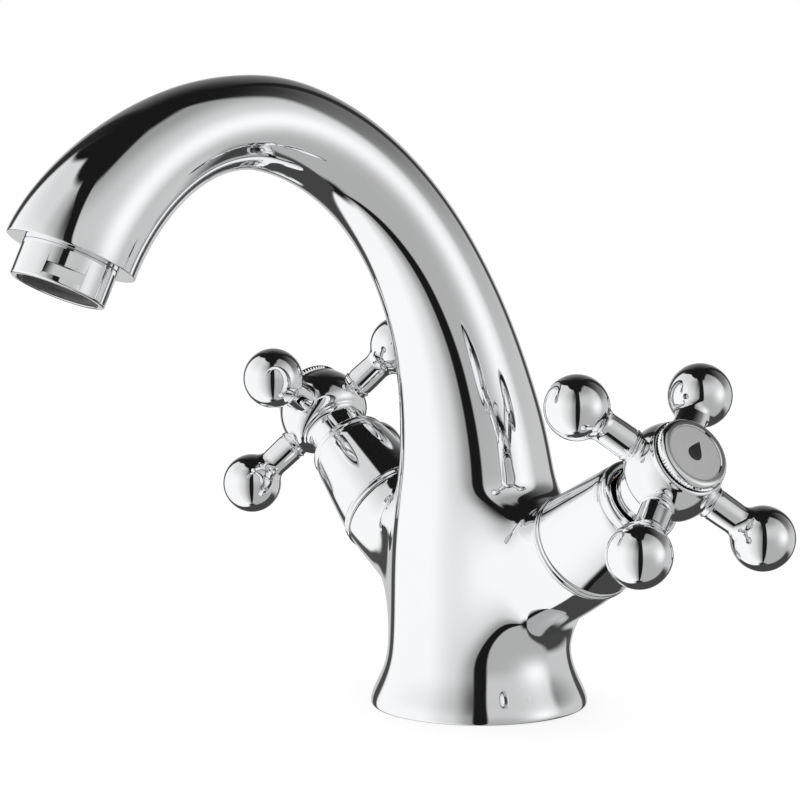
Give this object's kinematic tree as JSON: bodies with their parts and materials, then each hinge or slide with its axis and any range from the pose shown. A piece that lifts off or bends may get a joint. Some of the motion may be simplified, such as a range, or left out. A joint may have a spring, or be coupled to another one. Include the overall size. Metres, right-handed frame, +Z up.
{
  "type": "bathroom mixer faucet",
  "caption": "Deck-mounted two-handle basin mixer tap with a swan-neck spout, a round foot and angled cross handles that end in balls.",
  "frame": {"origin": "centre of the foot, on the flat underside that rests on the basin", "axes": "+Z up; the spout points along -Y; the cold valve is on +X and the hot valve on -X"},
  "size_m": [0.172, 0.16, 0.1539],
  "materials": {
    "polished_chrome": "mirror-polished chrome plate",
    "satin_index": "fine satin metal with a black enamelled drop",
    "machined_brass": "turned bare brass",
    "black_rubber": "matt black nitrile rubber",
    "valve_ceramic": "lapped alumina ceramic",
    "stainless_steel": "bright stainless steel",
    "stainless_screen": "punched stainless sheet",
    "white_acetal": "moulded white acetal",
    "grey_acetal": "moulded dark grey acetal"
  },
  "bodies": {
    "root": {"body": "polished_chrome", "base_gasket": "black_rubber", "aerator_washer": "black_rubber", "aerator_housing": "polished_chrome", "aerator_insert": "grey_acetal", "aerator_screen": "stainless_screen", "hot_seat_seal": "black_rubber", "hot_fixed_disc": "valve_ceramic", "hot_cartridge": "machined_brass", "hot_cartridge_o_ring": "black_rubber", "hot_bonnet": "polished_chrome", "cold_seat_seal": "black_rubber", "cold_fixed_disc": "valve_ceramic", "cold_cartridge": "machined_brass", "cold_cartridge_o_ring": "black_rubber", "cold_bonnet": "polished_chrome"},
    "hot_handle": {"hot_moving_disc": "valve_ceramic", "hot_spindle": "machined_brass", "hot_spindle_o_rings": "black_rubber", "hot_thrust_washer": "white_acetal", "hot_circlip": "stainless_steel", "hot_hub": "polished_chrome", "hot_arm_1": "polished_chrome", "hot_arm_2": "polished_chrome", "hot_arm_3": "polished_chrome", "hot_arm_4": "polished_chrome", "hot_handle_screw": "stainless_steel", "hot_cap": "polished_chrome", "hot_index_disc": "satin_index"},
    "cold_handle": {"cold_moving_disc": "valve_ceramic", "cold_spindle": "machined_brass", "cold_spindle_o_rings": "black_rubber", "cold_thrust_washer": "white_acetal", "cold_circlip": "stainless_steel", "cold_hub": "polished_chrome", "cold_arm_1": "polished_chrome", "cold_arm_2": "polished_chrome", "cold_arm_3": "polished_chrome", "cold_arm_4": "polished_chrome", "cold_handle_screw": "stainless_steel", "cold_cap": "polished_chrome", "cold_index_disc": "satin_index"}
  },
  "joints": [
    {"name": "hot_valve_turn", "type": "hinge", "parent": "root", "child": "hot_handle", "pos_m": [-0.06668, 0.0019, 0.06419], "axis": [-0.8192, 0, 0.5736], "range_deg": [0, 90]},
    {"name": "cold_valve_turn", "type": "hinge", "parent": "root", "child": "cold_handle", "pos_m": [0.06668, 0.0019, 0.06419], "axis": [0.8192, 0, 0.5736], "range_deg": [-90, 0]}
  ]
}
